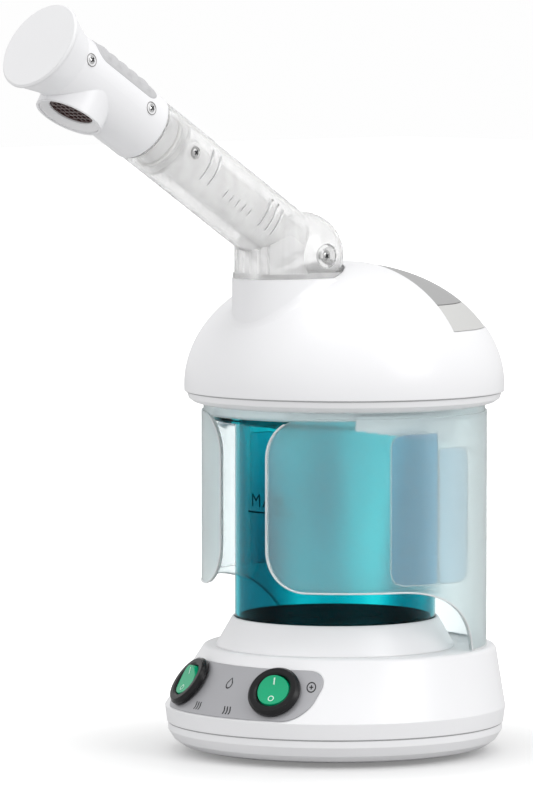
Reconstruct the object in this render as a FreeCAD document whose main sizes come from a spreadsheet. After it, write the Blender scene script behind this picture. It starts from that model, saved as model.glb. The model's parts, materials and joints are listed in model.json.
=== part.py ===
import FreeCAD, Part
import math
import os
import Sketcher
from FreeCAD import Placement, Rotation, Vector

# Table-top facial steamer. Millimetres, +Z up, front of the machine towards -Y.
# The origin is the point on the table under the middle of the water tank.
# The hood sits a little behind the tank, on an axis of its own at hood_y.
# The arm has a local frame at its ball: Z along the arm, X across the machine, Y up and back.

DIMENSIONS = [
    # base
    ("wall", 2.4), ("foot_radius", 8.0), ("foot_height", 2.6), ("foot_circle", 58.0),
    ("pan_floor_radius", 85.0), ("pan_radius", 99.6), ("pan_round_z", 13.0), ("pan_top", 17.0),
    ("seam_gap", 0.7), ("shell_foot_radius", 100.2), ("belly_radius", 101.5), ("belly_z", 27.0),
    ("ledge_radius", 87.0), ("ledge_y", 12.3), ("ledge_z", 62.5), ("ledge_round", 3.2),
    ("collar_foot_radius", 71.0), ("collar_top_radius", 61.4), ("collar_top", 80.0),
    ("collar_bore", 60.1), ("collar_skirt_z", 52.0),
    # front panel and switches
    ("panel_half_width", 58.0), ("panel_low", 28.3), ("panel_high", 56.0), ("panel_round", 11.0),
    ("panel_proud", 0.8), ("panel_sunk", 0.5), ("switch_x", 35.5), ("switch_z", 42.7),
    ("bezel_radius", 16.0), ("bezel_proud", 5.4), ("bezel_bore", 10.4), ("switch_body_radius", 11.6),
    ("switch_depth", 19.0), ("rocker_radius", 9.9), ("rocker_pivot", 2.4), ("rocker_top", 4.4),
    ("rocker_low", 4.2), ("rocker_axle", 1.2), ("rocker_dish", 26.0), ("terminal_width", 4.8), ("terminal_length", 7.0),
    # electrics
    ("board_length", 60.0), ("board_width", 44.0), ("board_thick", 1.6), ("board_y", 40.0),
    ("post_radius", 3.2), ("post_height", 6.0), ("gland_radius", 6.0), ("gland_y", 101.2), ("gland_z", 34.0),
    # tank and heater
    ("tank_radius", 59.7), ("tank_wall", 2.4), ("tank_foot", 54.0), ("tank_top", 201.0),
    ("flange_radius", 72.5), ("flange_thick", 3.5), ("heater_z", 78.0), ("heater_thick", 3.0),
    ("element_ring", 38.0), ("element_tube", 3.6), ("cup_depth", 7.0), ("cup_radius", 26.0),
    ("gasket_bore", 48.0), ("thermostat_radius", 9.0),
    # hood
    ("hood_y", 7.4), ("dome_radius", 95.3), ("dome_height", 73.0), ("dome_z", 218.0),
    ("dome_seam", 214.2), ("rim_low", 206.5), ("rim_low_radius", 85.0), ("rim_round_z", 210.0),
    ("rim_bore", 80.6), ("neck_radius", 72.9), ("neck_low", 201.3),
    ("neck_bore", 58.0), ("ramp_radius", 74.6), ("ramp_bore", 72.8), ("ramp_from", 55.0), ("ramp_to", 118.0),
    ("ramp_start_z", 196.0), ("ramp_end_z", 184.0), ("seal_tube", 1.3), ("seal_ring", 65.6), ("seal_lift", 1.0),
    ("guard_radius", 85.0), ("guard_wall", 2.4), ("guard_top", 202.8), ("guard_lip_top", 206.3),
    ("guard_wing_z", 101.0), ("guard_gap_half", 19.6), ("guard_corner", 24.0),
    ("guard_leg_front", -24.0), ("guard_leg_back", 35.0), ("guard_foot", 63.0),
    ("inlay_front", 15.5), ("inlay_low", 252.0), ("inlay_split", 267.0), ("inlay_sunk", 0.7),
    ("inlay_thick", 0.9), ("duct_radius", 11.0), ("duct_top", 268.5), ("baffle_z", 214.6),
    # turret, elbow and arm
    ("boss_radius", 26.4), ("boss_y", -48.0), ("boss_top", 283.0), ("boss_low", 232.0),
    ("ball_y", -29.1), ("ball_z", 296.0), ("ball_radius", 25.6), ("ball_gap", 0.5),
    ("plate_thick", 3.2), ("saddle_radius", 20.4), ("saddle_y", -54.4), ("saddle_top", 312.0), ("flute_radius", 1.0), ("flutes", 7),
    ("arm_angle", 31.5), ("arm_radius", 20.2), ("arm_wall", 1.8), ("arm_step", 148.6),
    ("arm_nose_radius", 18.7), ("arm_end", 172.0), ("steam_tube_radius", 13.0),
    ("steam_tube_end", 168.0), ("steam_flange", 127.0), ("sleeve_radius", 16.0),
    ("sleeve_start", 131.0), ("sleeve_end", 179.0), ("pin_radius", 2.5), ("pin_recess", 21.4), ("recess_radius", 5.0),
    ("pin_boss", 17.6),
    # head
    ("head_start", 149.2), ("head_radius", 20.9), ("head_wall", 1.6), ("head_neck", 221.0),
    ("head_flare_radius", 26.3), ("disc_back", 237.4), ("disc_front", 240.2),
    ("disc_radius", 27.2), ("spout_z", 199.5), ("spout_radius", 20.0), ("spout_length", 23.6),
    ("nozzle_bore", 13.3), ("nozzle_depth", 3.4), ("grid_thick", 1.5), ("pad_start", 158.7), ("pad_end", 213.0), ("pad_half", 18.6),
    ("pad_round", 8.0), ("pad_proud", 1.4), ("pad_ribs", 5), ("screw_radius", 2.9),
    ("head_screw_back", 163.4), ("head_screw_front", 217.0), ("head_screw_rise", 4.2), ("arm_screw", 120.4),
]

doc = FreeCAD.newDocument("facial_steamer")
sheet = doc.addObject("Spreadsheet::Sheet", "dims")
for row, (name, value) in enumerate(DIMENSIONS, start=1):
    sheet.set(f"A{row}", name)
    sheet.set(f"B{row}", str(value))
    sheet.setAlias(f"B{row}", name)
doc.recompute()

NODES = []


def size(name):
    """A driving dimension, read from the sheet."""
    return float(sheet.get(name))


def value(term):
    """A length: a number, an alias, '-alias', or a tuple of these, which is their sum."""
    if isinstance(term, tuple):
        return sum(value(part) for part in term)
    if isinstance(term, str):
        return -size(term[1:]) if term.startswith("-") else size(term)
    return float(term)


def text(term):
    """The same length as an expression on the sheet."""
    if isinstance(term, tuple):
        return " + ".join(text(part) for part in term)
    if isinstance(term, str):
        return f"(-dims.{term[1:]})" if term.startswith("-") else f"dims.{term}"
    return f"({term})"


def keep(item, label, place=None):
    """Name a finished sub-part, set its place and remember it for export."""
    item.Label = label
    if place is not None:
        item.Placement = place
    NODES.append(item)
    return item


def feature(label, shape, place=None):
    item = doc.addObject("Part::Feature", label)
    item.Shape = shape
    return keep(item, label, place)


def plane_of(body, role):
    return next(f for f in body.Origin.OriginFeatures if f.Role == role)


def bind(sketch, kind, point, term):
    """Hold one coordinate of a sketch point to the sheet."""
    if abs(value(term)) < 1e-9:
        axis = -2 if kind == "DistanceX" else -1
        sketch.addConstraint(Sketcher.Constraint("PointOnObject", *point, axis))
        return
    index = sketch.addConstraint(Sketcher.Constraint(kind, -1, 1, *point, value(term)))
    sketch.setExpression(f"Constraints[{index}]", text(term))


def outline_sketch(body, role, points):
    """A closed outline of straight runs on one of the body's own planes."""
    sketch = body.newObject("Sketcher::SketchObject", body.Name + "_outline")
    sketch.AttachmentSupport = [(plane_of(body, role), "")]
    sketch.MapMode = "FlatFace"
    corners = [Vector(value(a), value(b), 0) for a, b in points]
    count = len(corners)
    for i in range(count):
        sketch.addGeometry(Part.LineSegment(corners[i], corners[(i + 1) % count]), False)
    for i in range(count):
        sketch.addConstraint(Sketcher.Constraint("Coincident", i, 2, (i + 1) % count, 1))
    for i, (a, b) in enumerate(points):
        bind(sketch, "DistanceX", (i, 1), a)
        bind(sketch, "DistanceY", (i, 1), b)
    return sketch


def lathe(label, points, place=None):
    """A turned piece: an outline of (radius, height) revolved about Z."""
    body = doc.addObject("PartDesign::Body", label)
    sketch = outline_sketch(body, "XZ_Plane", points)
    turn = body.newObject("PartDesign::Revolution", label + "_turn")
    turn.Profile = sketch
    turn.ReferenceAxis = (sketch, ["V_Axis"])
    turn.Angle = 360
    body.Tip = turn
    return keep(body, label, place)


def round_pad(label, radius, height, place=None):
    """A disc or post: one circle padded up by height."""
    body = doc.addObject("PartDesign::Body", label)
    sketch = body.newObject("Sketcher::SketchObject", label + "_circle")
    sketch.AttachmentSupport = [(plane_of(body, "XY_Plane"), "")]
    sketch.MapMode = "FlatFace"
    sketch.addGeometry(Part.Circle(Vector(0, 0, 0), Vector(0, 0, 1), value(radius)), False)
    sketch.addConstraint(Sketcher.Constraint("Coincident", 0, 3, -1, 1))
    index = sketch.addConstraint(Sketcher.Constraint("Radius", 0, value(radius)))
    sketch.setExpression(f"Constraints[{index}]", text(radius))
    pad = body.newObject("PartDesign::Pad", label + "_pad")
    pad.Profile = sketch
    pad.Length = value(height)
    pad.setExpression("Length", text(height))
    body.Tip = pad
    return keep(body, label, place)


def block(label, length, width, height, place):
    """A rectangular block centred on its own Z axis."""
    body = doc.addObject("PartDesign::Body", label)
    half_x, half_y = value(length) / 2, value(width) / 2
    corners = [(-half_x, -half_y), (half_x, -half_y), (half_x, half_y), (-half_x, half_y)]
    sketch = outline_sketch(body, "XY_Plane", corners)
    pad = body.newObject("PartDesign::Pad", label + "_pad")
    pad.Profile = sketch
    pad.Length = value(height)
    pad.setExpression("Length", text(height))
    body.Tip = pad
    return keep(body, label, place)


def disc(radius, low, high, x=0.0, y=0.0):
    return Part.makeCylinder(radius, high - low, Vector(x, y, low))


def ring(inner, outer, low, high, y=0.0):
    return disc(outer, low, high, 0, y).cut(disc(inner, low - 1, high + 1, 0, y))


def circle_wire(radius, y, z):
    return Part.Wire(Part.Circle(Vector(0, y, z), Vector(0, 0, 1), radius).toShape())


def slant(radius_low, y_low, z_low, radius_high, y_high, z_high):
    """A slanted cone between two level circles."""
    wires = [circle_wire(radius_low, y_low, z_low), circle_wire(radius_high, y_high, z_high)]
    return Part.makeLoft(wires, True, True)


def stadium(radius, y_front, y_back, low, high):
    """A prism with two round ends on the machine's middle plane."""
    middle = Part.makeBox(2 * radius, y_back - y_front, high - low, Vector(-radius, y_front, low))
    ends = [disc(radius, low, high, 0, y_front), disc(radius, low, high, 0, y_back)]
    return middle.fuse(ends).removeSplitter()


def rounded_rectangle(half_width, low, high, corner, depth_from, depth_to):
    """A rounded plate drawn in X and Z and thick along Y."""
    shape = Part.makeBox(2 * half_width, depth_to - depth_from, high - low,
                         Vector(-half_width, depth_from, low))
    edges = [e for e in shape.Edges if abs(e.tangentAt(e.FirstParameter).y) > 0.9]
    return shape.makeFillet(corner, edges)


def ellipsoid(radius, height, z, y):
    stretch = FreeCAD.Matrix()
    stretch.scale(radius, radius, height)
    stretch.move(Vector(0, y, z))
    return Part.makeSphere(1.0).transformGeometry(stretch)


def screw_shape(radius, length):
    """A pan-head screw with a cross recess, its head on +Z and its seat at 0."""
    dome = Part.makeSphere(radius * 1.25, Vector(0, 0, -radius * 0.75)).common(disc(radius, 0, radius))
    shank = disc(radius * 0.5, -length, 0.2)
    slot = Part.makeBox(radius * 1.2, radius * 0.26, radius, Vector(-radius * 0.6, -radius * 0.13, 0.12))
    cross = slot.fuse(slot.rotated(Vector(0, 0, 0), Vector(0, 0, 1), 90))
    return dome.fuse(shank).cut(cross).removeSplitter()


def aimed(position, direction):
    return Placement(position, Rotation(Vector(0, 0, 1), direction))


def placed(shape, place):
    copy = shape.copy()
    copy.Placement = place.multiply(copy.Placement)
    return copy


def halves(shape, reach):
    """The left (-X) and right (+X) halves of a clamshell."""
    left = shape.common(Part.makeBox(reach, 2 * reach, 2 * reach, Vector(-reach, -reach, -reach)))
    right = shape.common(Part.makeBox(reach, 2 * reach, 2 * reach, Vector(0, -reach, -reach)))
    return left, right


# ---------------------------------------------------------------- frames
def arm_frame():
    tilt = Rotation(Vector(1, 0, 0), 90 - size("arm_angle"))
    return Placement(Vector(0, size("ball_y"), size("ball_z")), tilt)


def slope():
    """How far the base's circles move back and shrink for each millimetre of height."""
    rise = size("ledge_z") - size("belly_z")
    return size("ledge_y") / rise, (size("ledge_radius") - size("belly_radius")) / rise


def switch_frame(side):
    """A switch's seat: on the slanted front, its Z out of the panel, its X level."""
    back, shrink = slope()
    up = size("switch_z") - size("belly_z")
    centre_y = back * up
    radius = size("belly_radius") + shrink * up
    x = side * size("switch_x")
    y = centre_y - math.sqrt(radius ** 2 - x ** 2)
    out = Vector(x, y - centre_y, 0).normalize()
    normal = Vector(out.x, out.y, -back * out.y - shrink).normalize()
    level = Vector(0, 0, 1).cross(normal).normalize()
    turn = Rotation(level, normal.cross(level), normal, "ZXY")
    return Placement(Vector(x, y, size("switch_z")), turn)


ARM = arm_frame()
SWITCHES = {"left": switch_frame(-1), "right": switch_frame(1)}


# ---------------------------------------------------------------- base
def base_pan():
    floor = "foot_height"
    lathe("base_pan", [
        (0, floor), ("pan_floor_radius", floor), (("pan_floor_radius", 6.2), (floor, 1.6)),
        (("pan_radius", -3.4), (floor, 5.0)), ("pan_radius", "pan_round_z"), ("pan_radius", "pan_top"),
        (("pan_radius", "-wall"), "pan_top"), (("pan_radius", "-wall"), "pan_round_z"),
        (("pan_radius", "-wall", -3.6), (floor, 7.0)), (("pan_floor_radius", 3.0), (floor, 3.6)),
        (("pan_floor_radius", -2.0), (floor, "wall")), (0, (floor, "wall")),
    ])


def base_outer(grow, low):
    """The base's outer form, grown all round by grow and open from low upwards."""
    foot = slant(size("shell_foot_radius") + grow, 0, low,
                 size("belly_radius") + grow, 0, size("belly_z"))
    back = slant(size("belly_radius") + grow, 0, size("belly_z"),
                 size("ledge_radius") + grow, size("ledge_y"), size("ledge_z"))
    return foot.fuse(back)


def base_shell():
    low = size("pan_top") + size("seam_gap")
    outer = base_outer(0, low)
    top = [e for e in outer.Edges if e.BoundBox.ZMin > size("ledge_z") - 0.1]
    outer = outer.makeFillet(size("ledge_round"), top)
    inner = base_outer(-size("wall"), low).cut(disc(200, size("ledge_z") - size("wall"), 100))
    shell = outer.cut(inner)
    shell = shell.cut(disc(size("collar_foot_radius") - 3.6, 50, 70))
    for seat in SWITCHES.values():
        shell = shell.cut(placed(disc(size("switch_body_radius") + 0.1, -25, 12), seat))
    hole = Part.makeCylinder(size("gland_radius") + 0.1, 20, Vector(0, 90, size("gland_z")), Vector(0, 1, 0))
    feature("base_shell", shell.cut(hole))


def spread(shape, count, radius, start=45.0):
    """Copies of a shape on a circle about Z."""
    copies = []
    for i in range(count):
        turn = Rotation(Vector(0, 0, 1), start + 360 * i / count)
        copies.append(placed(shape, Placement(turn.multVec(Vector(radius, 0, 0)), turn)))
    return Part.makeCompound(copies)


def feet_and_screws():
    foot = disc(size("foot_radius"), 0, size("foot_height"))
    foot = foot.makeFillet(0.8, [e for e in foot.Edges if e.BoundBox.ZMax < 0.1])
    corner_feet = spread(foot, 4, size("foot_circle"), 0.0)
    feature("rubber_feet", Part.makeCompound([foot, *corner_feet.Solids]))
    screw = screw_shape(size("screw_radius"), 12)
    screw = screw.rotated(Vector(0, 0, 0), Vector(1, 0, 0), 180)
    screw = placed(screw, Placement(Vector(0, 0, size("foot_height")), Rotation()))
    feature("base_screws", spread(screw, 4, size("foot_circle")))


def tank_collar():
    lathe("tank_collar", [
        ("collar_bore", "collar_skirt_z"), (("collar_bore", 3.0), "collar_skirt_z"),
        (("collar_bore", 3.0), "ledge_z"), ("collar_foot_radius", "ledge_z"),
        (("collar_foot_radius", -0.6), ("ledge_z", 1.6)),
        (("collar_top_radius", 0.4), ("collar_top", -0.8)), (("collar_top_radius", -0.4), "collar_top"),
        ("collar_bore", "collar_top"),
    ])


def control_panel():
    skin = base_outer(size("panel_proud"), 20).cut(base_outer(-size("panel_sunk"), 19))
    face = rounded_rectangle(size("panel_half_width"), size("panel_low"), size("panel_high"),
                             size("panel_round"), -120, -20)
    panel = skin.common(face)
    for seat in SWITCHES.values():
        panel = panel.cut(placed(disc(size("switch_body_radius") + 0.1, -12, 12), seat))
    feature("control_panel", panel)
    return panel


def panel_pocket(panel):
    """The base shell is let in by the panel's sunk depth."""
    shell = next(n for n in NODES if n.Label == "base_shell")
    shell.Shape = shell.Shape.cut(panel)


def switches():
    for name, seat in SWITCHES.items():
        lathe("switch_housing_" + name, [
            ("bezel_bore", ("-rocker_low", -2.4)), ("bezel_bore", ("bezel_proud", -0.8)),
            (("bezel_bore", 1.2), "bezel_proud"), (("bezel_radius", -1.6), "bezel_proud"),
            ("bezel_radius", ("bezel_proud", -2.0)), ("bezel_radius", 1.3),
            ("switch_body_radius", 1.3), ("switch_body_radius", "-switch_depth"),
            (0, "-switch_depth"), (0, ("-rocker_low", -2.4)),
        ], seat)
        ball = Part.makeSphere(size("rocker_radius"))
        body = ball.common(disc(20, -size("rocker_low"), size("rocker_top")))
        dish_z = size("rocker_top") - 2.2 + size("rocker_dish")
        dish = Part.makeCylinder(size("rocker_dish"), 40, Vector(-20, 0, dish_z), Vector(1, 0, 0))
        body = body.cut(dish).common(disc(20, -size("rocker_low"), size("rocker_top") - 0.6))
        reach = size("bezel_bore") - 0.1
        axle = Part.makeCylinder(size("rocker_axle"), 2 * reach, Vector(-reach, 0, 0), Vector(1, 0, 0))
        body = body.fuse(axle).removeSplitter()
        lift = Placement(Vector(0, 0, size("rocker_pivot")), Rotation(Vector(1, 0, 0), 8))
        feature("rocker_" + name, body, seat.multiply(lift))
    blade = Part.makeBox(size("terminal_width"), 0.8, size("terminal_length"),
                         Vector(-size("terminal_width") / 2, 0, -size("switch_depth") - 7))
    rows = [blade.translated(Vector(0, y, 0)) for y in (-6, 0, 6)]
    feature("switch_terminals",
            Part.makeCompound([placed(b, seat) for seat in SWITCHES.values() for b in rows]))


def electrics():
    floor = size("foot_height") + size("wall")
    deck = floor + size("post_height")
    y = size("board_y")
    block("circuit_board", "board_length", "board_width", "board_thick", Placement(Vector(0, y, deck), Rotation()))
    top = deck + size("board_thick")
    block("ion_module", 26, 18, 14, Placement(Vector(-16, y + 2, top), Rotation()))
    block("terminal_block", 30, 12, 11, Placement(Vector(12, y - 10, top), Rotation()))
    post = disc(size("post_radius"), floor, deck)
    reach_x, reach_y = size("board_length") * 0.4, size("board_width") * 0.364
    posts = [post.translated(Vector(x, y + v, 0)) for x in (-reach_x, reach_x) for v in (-reach_y, reach_y)]
    feature("board_posts", Part.makeCompound(posts))
    neck = "gland_radius"
    lathe("cord_gland", [
        (2.9, -8.0), (neck, -8.0), (neck, 0.2), ((neck, 2.6), 0.2), ((neck, 2.2), 2.6),
        ((neck, -0.6), 8.6), (2.9, 8.6),
    ], aimed(Vector(0, size("gland_y"), size("gland_z")), Vector(0, 1, 0)))


# ---------------------------------------------------------------- tank and heater
def tank():
    inner = ("tank_radius", "-tank_wall")
    lathe("tank", [
        (inner, "tank_foot"), ("tank_radius", "tank_foot"),
        ("tank_radius", ("tank_top", "-flange_thick", -2.0)),
        (("tank_radius", 2.0), ("tank_top", "-flange_thick")),
        ("flange_radius", ("tank_top", "-flange_thick")), ("flange_radius", "tank_top"),
        (inner, "tank_top"),
    ])


def heater():
    edge = ("tank_radius", "-tank_wall", -0.2)
    top = ("heater_z", "heater_thick")
    low = ("heater_z", "-cup_depth")
    lathe("heater_plate", [
        (0, low), ("cup_radius", low), (("cup_radius", 4.0), "heater_z"),
        ("element_ring", "heater_z"), (edge, "heater_z"), (edge, top), (("cup_radius", 2.0), top),
        (("cup_radius", -2.0), (low, "heater_thick")), (0, (low, "heater_thick")),
    ])
    ring_part = doc.addObject("Part::Torus", "heating_element")
    ring_part.setExpression("Radius1", "dims.element_ring")
    ring_part.setExpression("Radius2", "dims.element_tube")
    keep(ring_part, "heating_element",
         Placement(Vector(0, 0, size("heater_z") - size("element_tube") - 0.1), Rotation()))
    height = 9.0
    under = size("heater_z") - size("cup_depth") - height - 0.05
    round_pad("thermostat", "thermostat_radius", height, Placement(Vector(0, 0, under), Rotation()))
    lathe("heater_gasket", [
        ("gasket_bore", ("heater_z", -2.6)), (edge, ("heater_z", -2.6)),
        (edge, ("heater_z", -0.1)), ("gasket_bore", ("heater_z", -0.1)),
    ])


# ---------------------------------------------------------------- hood
def dome_form(inset, top):
    """The dome with its turret, drawn in by inset, its flat at top."""
    y = size("hood_y")
    form = ellipsoid(size("dome_radius") - inset, size("dome_height") - inset, size("dome_z"), y)
    radius = size("boss_radius")
    boss = stadium(radius - inset, size("boss_y"), size("ball_y"), size("boss_low"), top)
    reach = 160
    cut = stadium(radius + inset, size("boss_y"), size("ball_y"), top, top + 60)
    keep_box = Part.makeBox(2 * reach, 2 * reach, reach,
                            Vector(-reach, -reach, size("dome_seam")))
    return form.fuse(boss).cut(cut).common(keep_box)


def dome_shell():
    top = size("boss_top")
    wall = size("wall")
    outer = dome_form(0, top)
    inner = dome_form(wall, top - wall)
    shell = outer.cut(inner)
    hole = size("ball_radius") - 3.0
    shell = shell.cut(disc(hole, top - 6, top + 5, 0, size("ball_y")))
    feature("dome_shell", shell)


def dome_rim():
    seam = ("dome_seam", -0.6)
    lathe("dome_rim", [
        ("rim_bore", "rim_low"), ("rim_low_radius", "rim_low"),
        (("rim_low_radius", 4.6), ("rim_low", 1.4)), (("rim_low_radius", 7.6), "rim_round_z"),
        (("dome_radius", -1.6), seam), (("dome_radius", -5.0), seam),
        (("rim_low_radius", 3.0), ("rim_low", 4.4)), ("rim_bore", ("rim_low", 4.4)),
    ], Placement(Vector(0, size("hood_y"), 0), Rotation()))


def ramp(start, end):
    """One locking ramp: a curved strip whose lower edge drops along a helix."""
    steps = 12
    low_z, top = size("neck_low"), size("neck_low") + 3.0
    fall = size("ramp_start_z") - size("ramp_end_z")
    pieces = []
    for i in range(steps):
        a = start + (end - start) * i / steps
        b = start + (end - start) * (i + 1) / steps
        low = size("ramp_start_z") - fall * (i + 0.5) / steps
        sector = Part.makeCylinder(size("ramp_radius"), top - low, Vector(0, 0, low),
                                   Vector(0, 0, 1), abs(b - a))
        pieces.append(sector.rotated(Vector(0, 0, 0), Vector(0, 0, 1), min(a, b)))
    strip = pieces[0].fuse(pieces[1:])
    strip = strip.cut(disc(size("ramp_bore"), 150, low_z - 0.1))
    return strip.cut(disc(size("neck_bore") + 6, 150, 230)).removeSplitter()


def neck_ring():
    low, high = size("neck_low"), size("rim_low") + 4.4
    collar = ring(size("neck_bore"), size("neck_radius"), low, low + 3.0)
    wall = ring(size("neck_radius") - 2.4, size("neck_radius"), low, high)
    body = collar.fuse(wall)
    for side in (-1, 1):
        first = -90 + side * size("ramp_from")
        last = -90 + side * size("ramp_to")
        body = body.fuse(ramp(first, last))
    groove = Part.makeTorus(size("seal_ring"), size("seal_tube"), Vector(0, 0, low + size("seal_lift")))
    mouth = ring(size("seal_ring") - 1.0, size("seal_ring") + 1.0, low - 1, low + 0.8)
    feature("neck_ring", body.cut(groove).cut(mouth).removeSplitter())


def seals():
    seal = doc.addObject("Part::Torus", "hood_seal")
    seal.setExpression("Radius1", "dims.seal_ring")
    seal.setExpression("Radius2", "dims.seal_tube - 0.05")
    keep(seal, "hood_seal", Placement(Vector(0, 0, size("neck_low") + size("seal_lift")), Rotation()))


def guard():
    y = size("hood_y")
    radius = size("guard_radius")
    inner = radius - size("guard_wall")
    body = ring(inner, radius, size("guard_foot"), size("guard_top"), y)
    lip = ring(size("rim_bore") + 0.05, radius - 1.2, size("guard_top") - 2.0,
               size("guard_lip_top"), y)
    half = size("guard_gap_half")
    corner = size("guard_corner")
    low, high = size("guard_wing_z"), size("guard_top")
    mouth = Part.makeBox(2 * half, 100, 200, Vector(-half, -120, 40))
    for side in (-1, 1):
        for edge, centre_z in ((low, low + corner), (high, high - corner)):
            below = edge == low
            box_z = low if below else high - corner
            box = Part.makeBox(corner, 100, corner,
                               Vector(half if side > 0 else -half - corner, -120, box_z))
            post = Part.makeCylinder(corner, 100, Vector(side * (half + corner), -120, centre_z),
                                     Vector(0, 1, 0))
            mouth = mouth.fuse(box.cut(post))
    front, back = size("guard_leg_front"), size("guard_leg_back")
    foot = size("guard_foot")
    bend = back - front
    under = Part.makeBox(240, front + 120, low - foot + 2, Vector(-120, -120, foot - 2))
    curve = Part.makeBox(240, bend, low - foot + 2, Vector(-120, front, foot - 2))
    scoop = Part.makeCylinder(1.0, 240, Vector(-120, 0, 0), Vector(1, 0, 0))
    stretch = FreeCAD.Matrix()
    stretch.scale(1, bend, low - foot + 2)
    stretch.move(Vector(0, front, foot - 2))
    curve = curve.common(scoop.transformGeometry(stretch))
    body = body.cut(mouth).cut(under.fuse(curve))
    feature("guard", body.fuse(lip).removeSplitter())


def dome_layer(outer_inset, inner_inset):
    """A layer of the dome's wall between two insets."""
    outer = ellipsoid(size("dome_radius") - outer_inset, size("dome_height") - outer_inset,
                      size("dome_z"), size("hood_y"))
    inner = ellipsoid(size("dome_radius") - inner_inset, size("dome_height") - inner_inset,
                      size("dome_z"), size("hood_y"))
    return outer.cut(inner)


def rear_inlay():
    """The grey skin let into the back of the dome: a band above and a lighter one below."""
    sunk = size("inlay_sunk")
    depth = sunk + size("inlay_thick")
    front, low, split = size("inlay_front"), size("inlay_low"), size("inlay_split")
    region = Part.makeBox(240, 120, 60, Vector(-120, front, low))
    dome = next(n for n in NODES if n.Label == "dome_shell")
    dome.Shape = dome.Shape.cut(dome_layer(-2.0, depth).common(region))
    gap = 0.15
    upper = Part.makeBox(240, 120, 60, Vector(-120, front + gap, split + gap))
    lower = Part.makeBox(240, 120, split - low - 2 * gap, Vector(-120, front + gap, low + gap))
    skin = dome_layer(sunk, depth - 0.02)
    feature("rear_inlay", skin.common(upper))
    feature("rear_inlay_tail", skin.common(lower))


def steam_path():
    y = size("hood_y")
    base = size("baffle_z")
    plate = disc(size("dome_radius") - 6.0, base, base + 2.0, 0, y)
    duct_y = size("ball_y")
    bore = size("duct_radius")
    plate = plate.cut(disc(bore, base - 2, base + 5, 0, duct_y))
    feature("steam_baffle", plate)
    lathe("steam_duct", [
        (("duct_radius", -1.6), (base, 2.0)), (("duct_radius", 5.0), (base, 2.0)),
        (("duct_radius", 5.0), (base, 4.0)), ("duct_radius", (base, 6.0)),
        ("duct_radius", "duct_top"), (("duct_radius", -1.6), "duct_top"),
    ], Placement(Vector(0, duct_y, 0), Rotation()))
    screw = screw_shape(size("screw_radius"), 1.6).rotated(Vector(0, 0, 0), Vector(1, 0, 0), 180)
    screw = placed(screw, Placement(Vector(0, 0, base), Rotation()))
    feature("hood_screws", spread(screw, 3, 50.0, 30.0))


# ---------------------------------------------------------------- elbow and arm
def elbow_cradle():
    top = size("boss_top") + 0.05
    deck = top + size("plate_thick")
    plate = stadium(size("boss_radius") - 0.4, size("boss_y"), size("ball_y"), top, deck)
    radius, front = size("saddle_radius"), size("saddle_y")
    wall = stadium(radius, front, size("ball_y"), deck, size("saddle_top"))
    wall = wall.cut(stadium(radius - 2.0, front, size("ball_y"), deck - 1, size("saddle_top") + 1))
    for i in range(int(size("flutes"))):
        angle = math.radians(-90 + (i - (size("flutes") - 1) / 2) * 15.0)
        x = radius * math.cos(angle)
        y = front + radius * math.sin(angle)
        wall = wall.cut(disc(size("flute_radius"), deck + 0.5, 320, x, y))
    body = plate.fuse(wall)
    tube = placed(disc(size("arm_radius") + 0.4, -10, 160), ARM)
    ball = Part.makeSphere(size("ball_radius") + size("ball_gap"),
                           Vector(0, size("ball_y"), size("ball_z")))
    body = body.cut(tube).cut(ball)
    solids = sorted(body.Solids, key=lambda s: s.Volume)
    feature("elbow_cradle", solids[-1])


def arm_housing():
    radius, wall = size("arm_radius"), size("arm_wall")
    ball = size("ball_radius")
    outer = disc(radius, 0, size("arm_step")).fuse(disc(size("arm_nose_radius"), 0, size("arm_end")))
    outer = outer.fuse(Part.makeSphere(ball))
    inner = disc(radius - wall, 0, size("arm_step") - 2)
    inner = inner.fuse(disc(size("arm_nose_radius") - 1.6, 0, size("arm_end") + 1))
    inner = inner.fuse(Part.makeSphere(ball - wall))
    shape = outer.cut(inner)
    down = ARM.Rotation.inverted().multVec(Vector(0, 0, -1))
    shape = shape.cut(Part.makeCylinder(15.0, 60, Vector(0, 0, 0), down))
    recess = size("recess_radius")
    for out in (Vector(-1, 0, 0), Vector(1, 0, 0)):
        shape = shape.fuse(Part.makeCylinder(recess + 1.6, 6.0, out * size("pin_boss"), out))
        shape = shape.cut(Part.makeCylinder(recess, 10.0, out * size("pin_recess"), out))
    hole = Part.makeCylinder(size("pin_radius") + 0.06, 80, Vector(-40, 0, 0), Vector(1, 0, 0))
    left, right = halves(shape.cut(hole), 200)
    feature("arm_housing_left", left, ARM)
    feature("arm_housing_right", right, ARM)


def pivot_pins():
    """Two short screws from outside, whose shanks are the pins that the ball turns on."""
    y, z = size("ball_y"), size("ball_z")
    reach = size("pin_recess")
    head = screw_shape(size("screw_radius"), 0.5)
    pins = []
    for side in (-1, 1):
        shank = Part.makeCylinder(size("pin_radius"), 3.6, Vector(side * (reach - 3.4), y, z),
                                  Vector(side, 0, 0))
        seat = aimed(Vector(side * (reach + 0.15), y, z), Vector(side, 0, 0))
        pins.append(shank.fuse(placed(head, seat)).removeSplitter())
    feature("pivot_pins", Part.makeCompound(pins))


def steam_tube():
    lathe("arm_steam_tube", [
        (("steam_tube_radius", -1.4), 12.0), (("steam_tube_radius", 2.0), 12.0),
        (("steam_tube_radius", 2.0), 14.0), ("steam_tube_radius", 16.0),
        ("steam_tube_radius", "steam_tube_end"), (("steam_tube_radius", -1.4), "steam_tube_end"),
    ], ARM)


def side_screws(heights, seat, rise, length):
    """Screws facing out on the right side of the arm, seated at a radius and a rise above its middle."""
    screw = screw_shape(size("screw_radius"), length)
    out = Vector(math.sqrt(seat ** 2 - rise ** 2), rise, 0)
    return Part.makeCompound([placed(screw, aimed(out + Vector(0, 0, h), out)) for h in heights])


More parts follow.
